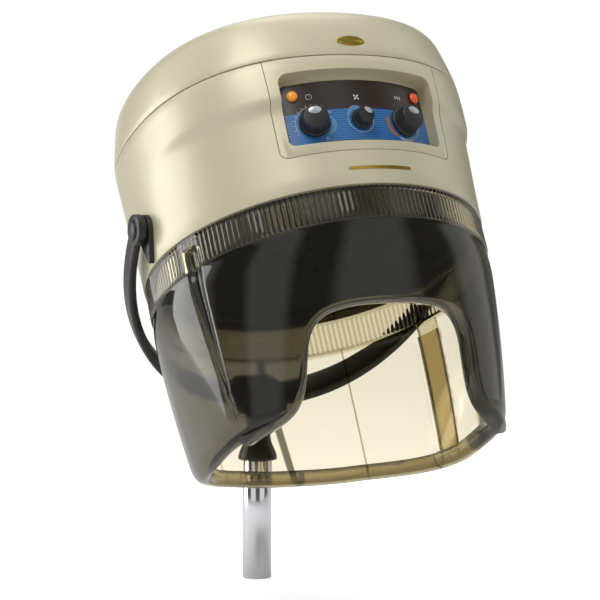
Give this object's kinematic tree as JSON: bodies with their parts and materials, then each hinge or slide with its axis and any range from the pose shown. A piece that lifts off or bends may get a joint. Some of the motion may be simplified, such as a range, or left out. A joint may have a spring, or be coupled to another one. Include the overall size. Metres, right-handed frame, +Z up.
{
  "type": "salon hood dryer head",
  "caption": "Tilting salon hood hair dryer head: round casing with dials, smoked visor open at the face, on a forked bail over a short column stub.",
  "frame": {"origin": "centre of the flat lower end of the column stub", "axes": "+Z up along the column, -Y to the front where the face opening is, +X to the right seen from the front"},
  "size_m": [0.4144, 0.4412, 0.6304],
  "materials": {
    "pearl": "champagne pearl paint on moulded plastic",
    "smoked": "smoked olive-brown transparent moulding",
    "black_plastic": "satin black",
    "fork_black": "satin black moulding",
    "chrome": "bright chrome plate",
    "zinc_steel": "zinc plated",
    "panel_print": "printed film, black-brown above and blue below",
    "silver_print": "silver inlay",
    "amber_lens": "clear amber",
    "red_lens": "clear red",
    "gold": "metallized gold",
    "white_plastic": "natural nylon",
    "grey_plastic": "dull grey",
    "mica": "pressed mica sheet",
    "heater_wire": "oxidised resistance wire"
  },
  "bodies": {
    "base": {"column_tube": "chrome", "column_end_plug": "black_plastic", "column_spigot": "zinc_steel"},
    "fork": {"fork_bail": "fork_black", "swivel_bush": "white_plastic", "pivot_cap_left": "fork_black", "pivot_cap_right": "fork_black"},
    "hood": {"main_casing": "pearl", "top_cover": "pearl", "intake_grille": "black_plastic", "control_fascia": "pearl", "panel_plate": "panel_print", "amber_lamp": "amber_lens", "red_lamp": "red_lens", "timer_unit": "white_plastic", "speed_unit": "white_plastic", "temp_unit": "white_plastic", "cover_badge": "gold", "pivot_boss_left": "black_plastic", "pivot_boss_right": "black_plastic", "friction_washer_left": "zinc_steel", "friction_washer_right": "zinc_steel", "pivot_bolt_left": "zinc_steel", "pivot_bolt_right": "zinc_steel", "pivot_nut_left": "zinc_steel", "pivot_nut_right": "zinc_steel", "visor_front": "smoked", "visor_rear": "smoked", "inner_dome": "black_plastic", "fan_deck": "grey_plastic", "heater_former": "mica", "heater_coil": "heater_wire", "thermal_cutout": "black_plastic", "motor_bracket": "zinc_steel", "motor_body": "grey_plastic", "terminal_block": "white_plastic", "cable_gland": "black_plastic"},
    "fan_rotor": {"impeller": "black_plastic", "motor_shaft": "zinc_steel"},
    "timer_dial": {"timer_knob": "black_plastic", "timer_pointer": "silver_print", "timer_shaft": "zinc_steel"},
    "speed_dial": {"speed_knob": "black_plastic", "speed_pointer": "silver_print", "speed_shaft": "zinc_steel"},
    "temp_dial": {"temp_knob": "black_plastic", "temp_pointer": "silver_print", "temp_shaft": "zinc_steel"}
  },
  "joints": [
    {"name": "column_swivel", "type": "hinge", "parent": "base", "child": "fork", "pos_m": [0, 0, 0.17], "axis": [0, 0, 1], "range_deg": [-170, 170]},
    {"name": "hood_tilt", "type": "hinge", "parent": "fork", "child": "hood", "pos_m": [0, -0.13, 0.4], "axis": [-1, 0, 0], "range_deg": [-4, 40]},
    {"name": "fan_spin", "type": "hinge", "parent": "hood", "child": "fan_rotor", "pos_m": [0, -0.11159, 0.43551], "axis": [0, 0.4602, 0.8878], "continuous": true},
    {"name": "timer_turn", "type": "hinge", "parent": "hood", "child": "timer_dial", "pos_m": [-0.05439, -0.26112, 0.51077], "axis": [0.309, 0.8444, -0.4377], "range_deg": [0, 300]},
    {"name": "speed_turn", "type": "hinge", "parent": "hood", "child": "speed_dial", "pos_m": [-0.00461, -0.26871, 0.5147], "axis": [0.0262, 0.8875, -0.46], "range_deg": [-110, 50]},
    {"name": "temp_turn", "type": "hinge", "parent": "hood", "child": "temp_dial", "pos_m": [0.04703, -0.26309, 0.51179], "axis": [-0.2672, 0.8555, -0.4435], "range_deg": [-135, 135]}
  ]
}
